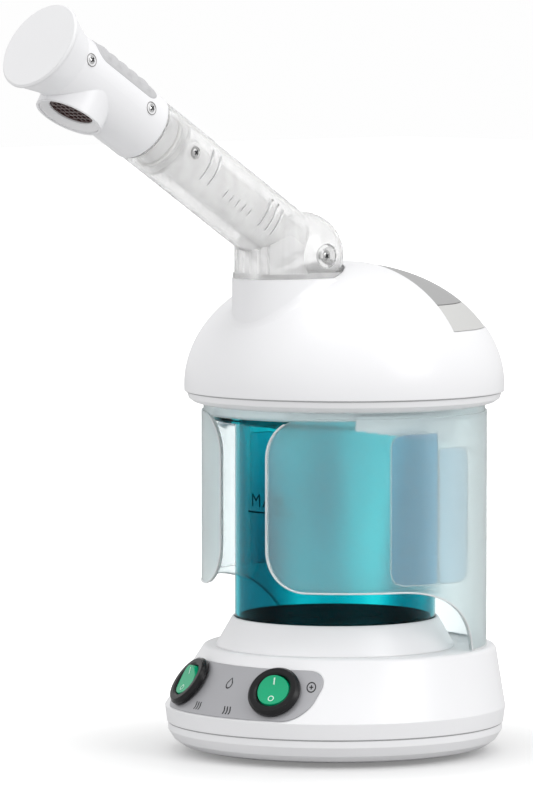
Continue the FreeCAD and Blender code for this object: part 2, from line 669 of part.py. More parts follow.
def arm_fittings():
    lathe("arm_bush", [
        (("steam_tube_radius", 0.1), "steam_flange"), (("arm_radius", "-arm_wall", -0.1), "steam_flange"),
        (("arm_radius", "-arm_wall", -0.1), ("steam_flange", 2.4)),
        (("steam_tube_radius", 0.1), ("steam_flange", 2.4)),
    ], ARM)
    seat = size("arm_radius") - 0.5
    feature("arm_screws", side_screws([size("arm_screw")], seat, 0, 1.2), ARM)


def sleeve():
    lathe("inner_sleeve", [
        (("sleeve_radius", -1.6), "sleeve_start"), ("sleeve_radius", "sleeve_start"),
        ("sleeve_radius", "sleeve_end"), (("sleeve_radius", -1.6), "sleeve_end"),
    ], ARM)
    lathe("sleeve_seal", [
        (("sleeve_radius", 0.05), ("sleeve_start", 2.0)), (("sleeve_radius", 0.8), ("sleeve_start", 2.4)),
        (("sleeve_radius", 0.8), ("sleeve_start", 4.0)), (("sleeve_radius", 0.05), ("sleeve_start", 4.4)),
    ], ARM)


# ---------------------------------------------------------------- head
def head_form(inset):
    radius = size("head_radius") - inset
    flare = size("head_flare_radius") - inset
    low = size("head_start") - (1 if inset else 0)
    form = disc(radius, low, size("head_neck"))
    form = form.fuse(Part.makeCone(radius, flare, size("disc_back") - size("head_neck"),
                                   Vector(0, 0, size("head_neck"))))
    spout_radius = size("spout_radius") - inset
    length = size("spout_length") + (1 if inset else 0)
    spout = Part.makeCylinder(spout_radius, length, Vector(0, 0, size("spout_z")), Vector(0, -1, 0))
    return form.fuse(spout)


def head_shells():
    shell = head_form(0).cut(head_form(size("head_wall")))
    shelf = ring(size("sleeve_radius") + 0.06, size("head_radius") - 1.0, size("sleeve_end") - 5.2,
                 size("sleeve_end") - 3.2)
    mouth = Part.makeCylinder(size("spout_radius") - size("head_wall"), 40,
                              Vector(0, 0, size("spout_z")), Vector(0, -1, 0))
    shell = shell.fuse(shelf.cut(mouth))
    left, right = halves(shell, 260)
    feature("head_shell_left", left, ARM)
    feature("head_shell_right", right, ARM)


def end_disc():
    plug = ("head_flare_radius", "-head_wall", -0.6)
    lathe("end_disc", [
        (0, ("disc_back", -3.0)), ((plug, -2.2), ("disc_back", -3.0)), ((plug, -1.0), "disc_back"),
        (("disc_radius", -0.8), "disc_back"), ("disc_radius", ("disc_back", 0.8)),
        ("disc_radius", ("disc_front", -1.0)), (("disc_radius", -1.0), "disc_front"),
        (0, "disc_front"),
    ], ARM)


def grip_pad():
    radius = size("head_radius")
    skin = ring(radius + 0.02, radius + size("pad_proud") * 0.55, size("pad_start"), size("pad_end"))
    face = rounded_rectangle(size("pad_half"), size("pad_start"), size("pad_end"),
                             size("pad_round"), 0, 40)
    pad = skin.common(face)
    ribs = int(size("pad_ribs"))
    pitch = (size("pad_end") - size("pad_start") - 12) / ribs
    narrow = rounded_rectangle(size("pad_half") - 3, size("pad_start") + 3, size("pad_end") - 3,
                               size("pad_round") - 2, 0, 40)
    for i in range(ribs):
        middle = size("pad_start") + 6 + pitch * (i + 0.5)
        band = ring(radius + 0.3, radius + size("pad_proud"), middle - 2.6, middle + 2.6)
        pad = pad.fuse(band.common(narrow))
    feature("grip_pad", pad.removeSplitter(), ARM)


def nozzle():
    """The cone ring in the spout and the grid behind it."""
    mouth = aimed(Vector(0, 0, size("spout_z")), Vector(0, -1, 0))
    rim = size("spout_length")
    throat = ("spout_length", "-nozzle_depth")
    outside = ("spout_radius", "-head_wall", -0.1)
    lathe("nozzle_ring", [
        ("nozzle_bore", (throat, -1.0)), (outside, (throat, -1.0)), (outside, (rim, -0.6)),
        ((outside, -1.0), (rim, -0.6)), ("nozzle_bore", throat),
    ], ARM.multiply(mouth))
    radius = size("nozzle_bore") + 1.6
    under = rim - size("nozzle_depth") - 1.1
    grid = disc(radius, under - size("grid_thick"), under)
    holes = []
    for i in range(-3, 4):
        for j in range(-3, 4):
            if i * i + j * j < 11:
                holes.append(disc(1.3, under - 4, rim, i * 3.6, j * 3.6))
    feature("nozzle_grid", grid.cut(holes), ARM.multiply(mouth))


def head_screws():
    seat = size("head_radius") - 0.5
    heights = [size("head_screw_back"), size("head_screw_front")]
    feature("head_screws", side_screws(heights, seat, size("head_screw_rise"), 1.0), ARM)
    lathe("head_retainer", [
        (("sleeve_radius", 0.0), ("sleeve_end", -3.0)), (("sleeve_radius", 2.4), ("sleeve_end", -3.0)),
        (("sleeve_radius", 2.4), ("sleeve_end", -1.4)), (("sleeve_radius", 0.0), ("sleeve_end", -1.4)),
    ], ARM)


base_pan()
base_shell()
feet_and_screws()
tank_collar()
panel_pocket(control_panel())
switches()
electrics()
tank()
heater()
dome_shell()
dome_rim()
neck_ring()
seals()
guard()
rear_inlay()
steam_path()
elbow_cradle()
arm_housing()
pivot_pins()
steam_tube()
arm_fittings()
sleeve()
head_shells()
end_disc()
grip_pad()
nozzle()
head_screws()
doc.recompute()

bad = [o.Label for o in doc.Objects if any(s in ("Invalid", "Error") for s in o.State)]
bad += [n.Label for n in NODES if n.Shape.isNull() or not n.Shape.isValid() or not n.Shape.Solids]
if bad:
    raise SystemExit("failed: " + ", ".join(bad))

os.makedirs("parts", exist_ok=True)
for node in NODES:
    node.Shape.exportStep(os.path.join("parts", node.Label + ".step"))
    box = node.Shape.BoundBox
    print(f"{node.Label:22s} solids {len(node.Shape.Solids):2d} volume {node.Shape.Volume:10.1f}"
          f" x {box.XMin:7.1f} {box.XMax:7.1f} y {box.YMin:7.1f} {box.YMax:7.1f}"
          f" z {box.ZMin:6.1f} {box.ZMax:6.1f}")
print(len(NODES), "nodes")
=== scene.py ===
import bpy
import json
import math
from mathutils import Matrix, Vector
from mathutils.bvhtree import BVHTree


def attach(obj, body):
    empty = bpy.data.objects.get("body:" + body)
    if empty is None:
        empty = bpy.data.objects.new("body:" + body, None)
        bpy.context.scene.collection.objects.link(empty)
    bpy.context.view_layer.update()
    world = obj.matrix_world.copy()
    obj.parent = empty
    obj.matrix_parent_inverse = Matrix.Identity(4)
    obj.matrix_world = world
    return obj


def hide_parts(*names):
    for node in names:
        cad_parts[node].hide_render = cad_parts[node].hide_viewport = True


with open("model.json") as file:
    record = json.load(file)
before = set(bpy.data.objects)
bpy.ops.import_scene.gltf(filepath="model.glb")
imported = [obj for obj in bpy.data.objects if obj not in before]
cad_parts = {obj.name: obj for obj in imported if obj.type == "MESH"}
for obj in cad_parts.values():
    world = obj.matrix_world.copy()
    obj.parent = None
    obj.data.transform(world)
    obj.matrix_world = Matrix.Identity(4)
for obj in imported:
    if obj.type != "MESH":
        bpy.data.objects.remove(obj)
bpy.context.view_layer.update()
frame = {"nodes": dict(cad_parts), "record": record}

# Lengths below are in millimetres, as in the CAD, and are scaled once when a piece is made.
MM = 0.001
nodes = frame["nodes"]


# ---------------------------------------------------------------- materials
class Look:
    """A node material under construction: small helpers round one Principled shader."""

    def __init__(self, name, colour, rough, **sockets):
        self.mat = bpy.data.materials.new(name)
        self.mat.use_nodes = True
        self.tree = self.mat.node_tree
        self.shader = self.tree.nodes["Principled BSDF"]
        self.place = self.tree.nodes.new("ShaderNodeTexCoord")
        self.set("Base Color", (*colour, 1.0))
        self.set("Roughness", rough)
        for key, number in sockets.items():
            self.set(key.replace("_", " "), number)

    def set(self, socket, number):
        self.shader.inputs[socket].default_value = number

    def add(self, kind, **values):
        node = self.tree.nodes.new(kind)
        for key, number in values.items():
            node.inputs[key].default_value = number
        return node

    def join(self, source, out, target, socket):
        self.tree.links.new(source.outputs[out], target.inputs[socket])

    def noise(self, scale, detail=3.0, stretch=(1, 1, 1), lean=0.0):
        """Noise in the object's space; lean turns it about X before it is stretched."""
        node = self.add("ShaderNodeTexNoise", Scale=scale, Detail=detail)
        bend = self.add("ShaderNodeMapping", Scale=stretch, Rotation=(lean, 0, 0))
        self.join(self.place, "Object", bend, "Vector")
        self.join(bend, "Vector", node, "Vector")
        return node

    def spread(self, source, out, low, high, target, socket, start=0.0, end=1.0):
        """Map a texture's start..end to low..high on a socket."""
        node = self.add("ShaderNodeMapRange", **{
            "From Min": start, "From Max": end, "To Min": low, "To Max": high})
        self.join(source, out, node, "Value")
        self.join(node, "Result", target, socket)
        return node

    def tint(self, source, out, *stops):
        """Base colour that drifts between near tones: pairs of place and colour."""
        ramp = self.tree.nodes.new("ShaderNodeValToRGB")
        points = ramp.color_ramp.elements
        while len(points) < len(stops):
            points.new(0.5)
        for point, (place, colour) in zip(points, stops):
            point.position, point.color = place, (*colour, 1)
        self.join(source, out, ramp, "Fac")
        self.join(ramp, "Color", self.shader, "Base Color")

    def bump(self, source, out, height_mm, strength, edge_mm=0.0):
        """Surface relief; edge_mm also softens the sharp edges of the form."""
        node = self.add("ShaderNodeBump", Strength=strength, Distance=height_mm * MM)
        self.join(source, out, node, "Height")
        self.join(node, "Normal", self.shader, "Normal")
        if edge_mm:
            edge = self.add("ShaderNodeBevel", Radius=edge_mm * MM)
            self.join(edge, "Normal", node, "Normal")


def shade(colour, factor):
    """The same colour, lighter or darker."""
    return tuple(min(1.0, c * factor) for c in colour)


def moulded(name, colour, rough, grain_mm=0.9, grain_height=0.02, edge_mm=0.5, **sockets):
    """Injection-moulded plastic: fine skin texture, faint flow marks and a drifting tone."""
    look = Look(name, colour, rough, **sockets)
    flow = look.noise(9.0, 2.0)
    skin = look.noise(1.0 / (grain_mm * MM), 2.0)
    look.tint(flow, "Fac", (0, shade(colour, 0.96)), (1, shade(colour, 1.04)))
    look.spread(flow, "Fac", rough * 0.75, min(1.0, rough * 1.3), look.shader, "Roughness")
    look.bump(skin, "Fac", grain_height, 0.6, edge_mm)
    return look.mat


def clear_plastic(name, colour, rough, through, **sockets):
    """See-through moulded plastic: slight ripples, a haze and a faint drift of tone."""
    look = Look(name, colour, rough, IOR=1.46, Transmission_Weight=through, **sockets)
    flow = look.noise(22.0, 2.0)
    fine = look.noise(160.0, 2.0)
    look.tint(flow, "Fac", (0, shade(colour, 0.97)), (1, shade(colour, 1.02)))
    look.spread(fine, "Fac", rough * 0.9, rough * 1.1, look.shader, "Roughness")
    look.bump(flow, "Fac", 0.05, 0.3)
    return look.mat


def milky_plastic(name, colour, rough, through, streak, ior, glow):
    """Cloudy moulded plastic with streaks along the arm in its relief and roughness; their lighter and darker
    colour is painted reflection of light inside the wall. The glow stands for light scattered inside.
    """
    look = Look(name, colour, rough, IOR=ior, Transmission_Weight=through, Emission_Strength=glow,
                Emission_Color=(1, 1, 1, 1))
    flow = look.noise(1.0, 3.0, stretch=(170, 170, 9), lean=-ARM_LEAN)
    # Painted reflection: lighter and darker streaks in the colour stand for light reflected inside the wall.
    look.tint(flow, "Fac", (0.3, shade(colour, 0.90)), (0.62, shade(colour, 1.02)))
    look.spread(flow, "Fac", rough * 0.6, rough * 1.5, look.shader, "Roughness")
    look.bump(flow, "Fac", streak, 0.5)
    return look.mat


def tank_plastic(name):
    """Blue-green tank: upright lighter and darker bands of painted highlight, darker low down, broken up by
    soft noise.
    """
    deep, middle, bright = (0.001, 0.30, 0.36), (0.01, 0.50, 0.56), (0.14, 0.88, 0.90)
    # Painted highlights: upright bright bands round the tank stand for light seen through it.
    painted_highlight_bands = ((2, 60, 0.10), (8, 64, 0.06))       # bands round the tank, degrees of a bright one, depth
    rise_per_metre, even_height = 2.0, 0.14
    look = Look(name, middle, 0.04, IOR=1.16, Transmission_Weight=1.0)
    split = look.add("ShaderNodeSeparateXYZ")
    look.join(look.place, "Object", split, 0)

    def math_node(kind, first, second=None, third=None):
        """A math node; each input is a number or a (node, output) pair."""
        step = look.add("ShaderNodeMath")
        step.operation = kind
        for socket, value in enumerate((first, second, third)):
            if isinstance(value, tuple):
                look.join(*value, step, socket)
            elif value is not None:
                step.inputs[socket].default_value = value
        return step, 0

    front = math_node("MULTIPLY", (split, "Y"), -1.0)
    turn = math_node("ARCTAN2", (split, "X"), front)
    cloud = look.noise(1.0, 1.0, stretch=(15, 15, 5))
    tone = (cloud, "Fac")
    for bands, bright_at, depth in painted_highlight_bands:
        wave = math_node("COSINE", math_node("MULTIPLY_ADD", turn, bands, -bands * math.radians(bright_at)))
        tone = math_node("MULTIPLY_ADD", wave, depth, tone)
    rise = math_node("MULTIPLY_ADD", (split, "Z"), rise_per_metre, -rise_per_metre * even_height)
    tone = math_node("ADD", tone, rise)
    look.tint(*tone, (0.34, deep), (0.52, middle), (0.70, bright))
    fine = look.noise(160.0, 2.0)
    look.spread(fine, "Fac", 0.03, 0.06, look.shader, "Roughness")
    look.bump(fine, "Fac", 0.01, 0.3)
    return look.mat


def metal(name, colour, rough):
    """Bare metal with fine uneven polish."""
    look = Look(name, colour, rough, Metallic=1.0)
    fine = look.noise(900.0, 4.0)
    look.spread(fine, "Fac", rough * 0.6, rough * 1.5, look.shader, "Roughness")
    look.bump(fine, "Fac", 0.01, 0.5, 0.2)
    return look.mat


ARM_RISE = 31.5                      # degrees that the arm points above level, towards the front
ARM_LEAN = math.radians(90 - ARM_RISE)
WHITE = (0.86, 0.86, 0.875)
LOOKS = {
    "white_gloss": moulded("white_gloss", WHITE, 0.34, edge_mm=0.9, Coat_Weight=0.25, Coat_Roughness=0.22),
    "grey_gloss": moulded("grey_gloss", (0.80, 0.80, 0.81), 0.35),
    "soft_grey": moulded("soft_grey", (0.52, 0.52, 0.53), 0.5, grain_mm=0.5, grain_height=0.05),
    "panel_silver": moulded("panel_silver", (0.42, 0.42, 0.44), 0.36, grain_mm=0.35, Metallic=0.25),
    "black_gloss": moulded("black_gloss", (0.006, 0.006, 0.007), 0.26, edge_mm=0.9, Specular_IOR_Level=0.32),
    # The rockers' green emission is a painted glow that lifts their colour.
    "switch_green": moulded("switch_green", (0.0, 0.33, 0.15), 0.16, edge_mm=0.8, Coat_Weight=0.15,
                            Specular_IOR_Level=0.4, Coat_Roughness=0.06, Emission_Strength=0.10,
                            Emission_Color=(0.0, 0.6, 0.3, 1)),
    "tank_teal": tank_plastic("tank_teal"),
    "frosted": clear_plastic("frosted", (0.90, 0.985, 1.0), 0.34, 0.94, Specular_IOR_Level=0.25),
    "clear": milky_plastic("clear", (1.0, 1.0, 1.0), 0.15, 0.84, streak=0.12, ior=1.38, glow=0.008),
    "rubber_black": moulded("rubber_black", (0.02, 0.02, 0.02), 0.75, grain_height=0.06),
    "seal_silicone": moulded("seal_silicone", (0.72, 0.72, 0.70), 0.5),
    "steel": metal("steel", (0.62, 0.62, 0.62), 0.28),
    "heater_dark": moulded("heater_dark", (0.004, 0.03, 0.038), 0.5, Specular_IOR_Level=0.0),
    "board_green": moulded("board_green", (0.02, 0.12, 0.05), 0.4),
    "black_matte": moulded("black_matte", (0.02, 0.02, 0.02), 0.5),
    "nozzle_dark": moulded("nozzle_dark", (0.045, 0.014, 0.012), 0.3),
}
TUBE_MILK = milky_plastic("tube_milk", (1, 0.995, 0.99), 0.17, 0.70, streak=0.04, ior=1.25, glow=0.03)
CRADLE_MILK = milky_plastic("cradle_milk", (1, 1, 1), 0.17, 0.70, streak=0.02, ior=1.25, glow=0.02)
# Painted shade: grey beads in the arm's grooves stand for the lines that light draws there.
GROOVE_SHADE = clear_plastic("groove_painted_shade", (0.68, 0.68, 0.70), 0.35, 0.4)
# Painted shade: a grey bead in each shut line stands for the seam's shade.
SEAM_SHADE = moulded("seam_painted_shade", (0.42, 0.42, 0.43), 0.6, edge_mm=0)
# The rear inlay's grey liner in two copies, darker on the inlay and lighter on its tail: the difference is
# painted shade, the scoop's shaded side against its lit floor.
INLAY_SHADED = moulded("inlay_shaded", (0.36, 0.36, 0.36), 0.5, grain_mm=0.5, grain_height=0.05)
INLAY_LIT = moulded("inlay_lit", (0.57, 0.57, 0.56), 0.42)
# Whiter, less clear plastic for the beads along the guard's edges and round the panes: a painted highlight.
FROST_EDGE_HIGHLIGHT = clear_plastic("frost_edge_highlight", (0.97, 0.99, 1.0), 0.35, 0.35)
PANE_DARK = clear_plastic("pane_dark", (0.34, 0.63, 0.83), 0.10, 0.97)
PANE_LIGHT = clear_plastic("pane_light", (0.66, 0.80, 0.90), 0.10, 0.97)
# Print ink; the same black fills the screws' cross drives as painted shade in their hollows.
INK_AND_DRIVE_SHADE = moulded("ink", (0.012, 0.012, 0.014), 0.45, grain_mm=0.3, edge_mm=0)
LEVEL_INK = moulded("level_ink", (0.002, 0.012, 0.015), 0.6, grain_mm=0.3, edge_mm=0, Specular_IOR_Level=0.0)
MARK_WHITE = moulded("mark_white", (0.62, 0.86, 0.74), 0.4, grain_mm=0.3, edge_mm=0)
# Painted shadow for the rings round the screws' recesses and for the arm's sink marks.
SHADOW_GREY = moulded("recess_painted_shadow", (0.30, 0.295, 0.29), 0.5, grain_mm=0.4, edge_mm=0)
GRIP_GREY = moulded("grip_grey", (0.52, 0.52, 0.53), 0.5, grain_mm=0.6, grain_height=0.08, edge_mm=0)

OWN_LOOKS = {
    "arm_steam_tube": TUBE_MILK, "arm_bush": TUBE_MILK, "inner_sleeve": TUBE_MILK,
    "elbow_cradle": CRADLE_MILK,
    "rear_inlay": INLAY_SHADED, "rear_inlay_tail": INLAY_LIT,
}
slot_of = {s["node"]: s["material_slot"] for s in frame["record"]["subparts"]}
for name, node in nodes.items():
    node.data.materials.clear()
    node.data.materials.append(OWN_LOOKS.get(name) or LOOKS[slot_of[name]])


# ---------------------------------------------------------------- making pieces
TURRET_Y, BALL_Z = -29.1, 296.0      # the elbow ball's centre, over the hood
# The arm's own frame: Z along the arm from the ball's centre, -Y towards the spout, X to the right.
ARM = Matrix.Translation(Vector((0, TURRET_Y, BALL_Z)) * MM) @ Matrix.Rotation(ARM_LEAN, 4, "X")


def finished(item, slot, body, look=None, replaces=(), place=None, sharp=38):
    """Give a new piece its place, finish and body."""
    bpy.context.collection.objects.link(item)
    item.data.materials.append(look or LOOKS[slot])
    if place is not None:
        item.data.transform(place)
    if item.type == "MESH":
        item.data.shade_smooth()
        item.data.set_sharp_from_angle(angle=math.radians(sharp))
    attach(item, body)
    if replaces:
        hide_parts(*replaces)
    return item


def piece(name, points, faces, slot, body, **more):
    """A new mesh piece from points in millimetres."""
    mesh = bpy.data.meshes.new(name)
    mesh.from_pydata([Vector(p) * MM for p in points], [], faces)
    mesh.update()
    return finished(bpy.data.objects.new(name, mesh), slot, body, **more)


def grid_faces(rows, columns, loop_columns=False):
    """Quads over a grid of points stored row by row."""
    faces = []
    for i in range(rows - 1):
        for j in range(columns if loop_columns else columns - 1):
            n = (j + 1) % columns
            faces.append((i * columns + j, i * columns + n, (i + 1) * columns + n, (i + 1) * columns + j))
    return faces


def soft_step(value, low, high):
    """0 up to low, 1 from high on, rounded between them."""
    t = min(1.0, max(0.0, (value - low) / (high - low)))
    return t * t * (3 - 2 * t)


def hump(distance, half_width):
    """1 at the middle, 0 past half_width, rounded."""
    return 0.5 + 0.5 * math.cos(math.pi * min(1.0, abs(distance) / half_width))


def span(start, end, step):
    """Even places from start up to, but not at, the end."""
    count = max(1, round((end - start) / step))
    return [start + (end - start) * i / count for i in range(count)]


def beads(name, lines, radius, slot, body, look=None, place=None):
    """Round beads along open or closed lines of points."""
    curve = bpy.data.curves.new(name, "CURVE")
    curve.dimensions = "3D"
    curve.bevel_depth = radius * MM
    curve.bevel_resolution = 3
    for points, closed in lines:
        spline = curve.splines.new("POLY")
        spline.points.add(len(points) - 1)
        spline.use_cyclic_u = closed
        for target, p in zip(spline.points, points):
            target.co = (*(Vector(p) * MM), 1)
    return finished(bpy.data.objects.new(name, curve), slot, body, look=look, place=place)


def circle(centre, axis, radius, count=40):
    """Points round a circle that faces along the axis."""
    centre, axis = Vector(centre), Vector(axis).normalized()
    side = axis.orthogonal().normalized()
    other = axis.cross(side)
    return [centre + radius * (math.cos(t) * side + math.sin(t) * other)
            for t in (2 * math.pi * i / count for i in range(count))]


# ---------------------------------------------------------------- elbow and arm tube
ARM_RADIUS, ARM_WALL, NOSE_RADIUS, BALL_RADIUS = 20.2, 1.8, 18.7, 25.6
ARM_STEP, ARM_END = 148.6, 172.0     # where the tube steps down to its nose, and where the nose ends
RELIEF_START, RELIEF_END = 39, 130   # the stretch that carries the grooves
# Each long groove: its place along the arm, and its two ends, measured below the arm's middle.
LONG_GROOVES = [(u, -9.0, 10.5) for u in (107.0, 100.0)] + [(u, -7.0, 10.0) for u in (53.0, 47.0, 42.0)]
SHORT_SLOTS = (64.0, 69.5, 75.0, 80.5, 86.0)
SLOT_BELOW = 7.4
RING_AT, RING_RADIUS = 122.0, 5.2
PIN_RECESS, PIN_RECESS_RADIUS = 21.4, 5.0


def arm_relief(u, w):
    """How far the skin of the arm stands out at u along it and w below its middle."""
    proud = 0.0
    for middle, low, high in LONG_GROOVES:
        ends = soft_step(w, low - 1, low + 1) * (1 - soft_step(w, high - 1, high + 1))
        proud -= 0.75 * ends * hump(u - middle, 1.3)
        proud += 0.30 * ends * hump(u - middle - 2.0, 1.2)
    for middle in SHORT_SLOTS:
        proud -= 0.55 * hump(w - SLOT_BELOW, 3.4) ** 0.5 * hump(u - middle, 1.0)
    ring = math.hypot(u - RING_AT, w)
    return proud + 0.45 * hump(ring - RING_RADIUS, 1.2)


def under_skin(side, u, w, sink):
    """A point sunk into the wall on one side of the arm, u along it and w below its middle."""
    r = ARM_RADIUS - sink
    return (side * math.sqrt(r * r - w * w), -w, u)


def arm_lines():
    """The lines that light draws in the grooves, as beads of painted shade, and two small sink marks, on both
    sides.
    """
    steps, slot_pitch, mark_above = 16, 1.2, 8.0
    r = ARM_RADIUS - 0.55
    lines, dots = [], []
    for side in (-1, 1):
        for middle, low, high in LONG_GROOVES:
            first, last = math.asin(low / ARM_RADIUS), math.asin(high / ARM_RADIUS)
            turns = [first + (last - first) * i / steps for i in range(steps + 1)]
            lines.append(([(side * r * math.cos(t), -r * math.sin(t), middle) for t in turns], False))
        for middle in SHORT_SLOTS:
            depths = [SLOT_BELOW + slot_pitch * i for i in range(-2, 3)]
            lines.append(([under_skin(side, middle, w, 0.4) for w in depths], False))
        for middle in (46.0, 51.5):
            centre = under_skin(side, middle, -mark_above, 0.3)
            dots.append((circle(centre, (side * 0.92, 0.4, 0), 0.45, 16), True))
    beads("arm_groove_lines", lines, 0.26, "clear", "arm", look=GROOVE_SHADE, place=ARM)
    beads("arm_groove_dots", dots, 0.4, "clear", "arm", look=SHADOW_GREY, place=ARM)


def ball_rows(radius, steps):
    """Places along a ball's axis, closer together round the pin recess."""
    near = PIN_RECESS_RADIUS + 3
    wide = [-radius * math.cos(math.pi * i / steps) for i in range(1, steps)]
    return sorted([u for u in wide if abs(u) > near] + span(-near, near, 0.35))


def arm_tube():
    """Ball and tube of the arm as one closed wall, with its moulded grooves, slots and pin recesses."""
    around, crowding = 180, 0.35         # columns, and how far they crowd towards the two sides
    nose_wall, recess_wall, recess_edge = 1.6, 1.6, 0.5
    hollow, bore = BALL_RADIUS - ARM_WALL, ARM_RADIUS - ARM_WALL
    join, inner_join = math.sqrt(BALL_RADIUS ** 2 - ARM_RADIUS ** 2), math.sqrt(hollow ** 2 - bore ** 2)
    # Rows of the outside and then of the inside: place along the arm, and radius there.
    outer = [(u, math.sqrt(BALL_RADIUS ** 2 - u * u)) for u in ball_rows(BALL_RADIUS, 60) if u < join - 0.5]
    along = span(join + 0.8, RELIEF_START, 2.0) + span(RELIEF_START, RELIEF_END, 0.55)
    outer += [(u, ARM_RADIUS) for u in along + span(RELIEF_END, ARM_STEP - 1, 3)]
    outer += [(ARM_STEP - 0.5, ARM_RADIUS - 0.1), (ARM_STEP, ARM_RADIUS - 0.6), (ARM_STEP + 0.1, NOSE_RADIUS)]
    outer += [(u, NOSE_RADIUS) for u in span(ARM_STEP + 3, ARM_END, 4)] + [(ARM_END, NOSE_RADIUS)]
    inner = [(u, NOSE_RADIUS - nose_wall) for u in (ARM_END, ARM_STEP - 2)] + [(ARM_STEP - 2.2, bore)]
    inner += [(u, bore) for u in reversed(span(20, ARM_STEP - 6, 8))]
    ball = [u for u in reversed(ball_rows(hollow, 48)) if u < inner_join - 0.5]
    inner += [(u, math.sqrt(hollow ** 2 - u * u)) for u in ball]
    points = []
    for k, (u, r) in enumerate(outer + inner):
        outside = k < len(outer)
        rim = PIN_RECESS_RADIUS + (0 if outside else recess_wall)
        floor = PIN_RECESS - (0 if outside else recess_wall)
        for j in range(around):
            t = 2 * math.pi * j / around
            a = t - crowding * math.sin(2 * t)
            x, w, skin = math.cos(a), math.sin(a), r
            if outside and join < u < RELIEF_END and abs(x) > 0.5:
                skin += arm_relief(u, r * w)
            px, py = skin * x, -skin * w
            if u < join:
                deep = 1 - soft_step(math.hypot(u, py), rim - recess_edge, rim + recess_edge)
                px += deep * (math.copysign(min(abs(px), floor), px) - px)
            points.append((px, py, u))
    rows = len(outer + inner)
    faces = grid_faces(rows, around, loop_columns=True)
    first, last, end = len(points), len(points) + 1, (rows - 1) * around
    points += [(0, 0, -BALL_RADIUS), (0, 0, -hollow)]
    for j in range(around):
        n = (j + 1) % around
        faces += [(first, n, j), (last, end + j, end + n)]
    piece("arm_tube", points, [f[::-1] for f in faces], "clear", "arm",
          replaces=("arm_housing_left", "arm_housing_right"), place=ARM)


arm_lines()
arm_tube()


# ---------------------------------------------------------------- grip pad on the head
HEAD_RADIUS = 20.9


def grip_pad():
    """Soft pad wrapped over the head: rounded outline, thick rolled edge and five cushioned ribs."""
    start, end, half = 158.7, 213.0, 1.10 * HEAD_RADIUS
    corner, ribs, plain_end = 9.0, 5, 5
    roll_radius, skirt, rib_height, sink = 1.8, 0.55, 1.0, 0.12
    rows, columns = 110, 70
    middle, reach = (start + end) / 2, (end - start) / 2
    pitch = (end - start - 2 * plain_end) / ribs
    points = []
    for i in range(rows):
        for j in range(columns):
            v = -1 + 2 * i / (rows - 1)
            s = -1 + 2 * j / (columns - 1)
            # The grid's ends are squeezed, so that the outline has round corners.
            inside = max(0.0, abs(v) * reach - (reach - corner))
            width = half - (corner - math.sqrt(max(0.0, corner ** 2 - inside ** 2)))
            arc_length = s * width
            u = middle + v * reach
            past = max(0.0, abs(arc_length) - (half - corner))
            to_end = corner - math.hypot(inside, past) if inside > 0 and past > 0 else reach * (1 - abs(v))
            border = min(width * (1 - abs(s)), to_end)
            roll = math.sqrt(max(0.0, 1 - (1 - min(1.0, max(0.0, border) / roll_radius)) ** 2))
            wave = hump((u - start - plain_end) % pitch - pitch / 2, pitch / 2)
            r = HEAD_RADIUS + roll * (skirt + rib_height * wave * soft_step(border, 2.0, 5.0)) - sink
            angle = arc_length / HEAD_RADIUS
            points.append((r * math.sin(angle), r * math.cos(angle), u))
    piece("grip_cushion", points, grid_faces(rows, columns), "soft_grey", "head", look=GRIP_GREY,
          replaces=("grip_pad",), place=ARM, sharp=60)


grip_pad()


# ---------------------------------------------------------------- screws: recess rings and crosses
BOX_FACES = ((0, 1, 3, 2), (4, 6, 7, 5), (0, 4, 5, 1), (2, 3, 7, 6), (1, 5, 7, 3), (0, 2, 6, 4))


def screw_dress(name, body, seats, place, ring_radius=3.7):
    """The painted shadow ring of each screw's recess, and the dark cross of its drive, painted shade in the
    drive's hollow.

    A seat is the head's centre and axis, and how far along the axis the ring and the cross lie."""
    half_long, half_wide, depth, twist = 1.55, 0.38, 0.25, 0.5
    rings, points, faces = [], [], []
    for centre, axis, ring_lift, cross_lift in seats:
        centre, axis = Vector(centre), Vector(axis).normalized()
        rings.append((circle(centre + axis * ring_lift, axis, ring_radius), True))
        side = Matrix.Rotation(twist, 3, axis) @ axis.orthogonal().normalized()
        other = axis.cross(side)
        for a, b in ((side, other), (other, side)):
            base = len(points)
            points += [centre + a * half_long * p + b * half_wide * q + axis * h
                       for q in (-1, 1) for p in (-1, 1) for h in (cross_lift - depth, cross_lift)]
            faces += [tuple(base + k for k in f) for f in BOX_FACES]
    beads(name + "_shadow_rings", rings, 0.27, "soft_grey", body, look=SHADOW_GREY, place=place)
    piece(name + "_drive_shade", points, faces, "black_matte", body, look=INK_AND_DRIVE_SHADE, place=place)


def head_seat(u):
    """The seat of a head screw, a little above the middle of the head's right side."""
    rise = 4.2
    x = math.sqrt(HEAD_RADIUS ** 2 - rise ** 2)
    return ((x, rise, u), (x, rise, 0), -0.05, 0.95)


pivot_seats = [((side * PIN_RECESS, 0, 0), (side, 0, 0), 0.2, 1.6) for side in (-1, 1)]
screw_dress("head_screw", "head", [head_seat(163.4), head_seat(217.0)], ARM)
screw_dress("arm_screw", "arm", [((ARM_RADIUS, 0, 120.4), (1, 0, 0), 0.0, 0.95)], ARM, 3.4)
screw_dress("pivot_screw", "hood", pivot_seats, ARM, 3.5)


# ---------------------------------------------------------------- turret fillet on the dome
DOME_Y, DOME_Z, DOME_A, DOME_B = 7.4, 218.0, 95.3, 73.0      # the dome's centre, its radius and its height
BOSS_RADIUS, BOSS_Y, BOSS_TOP = 26.4, -48.0, 283.0


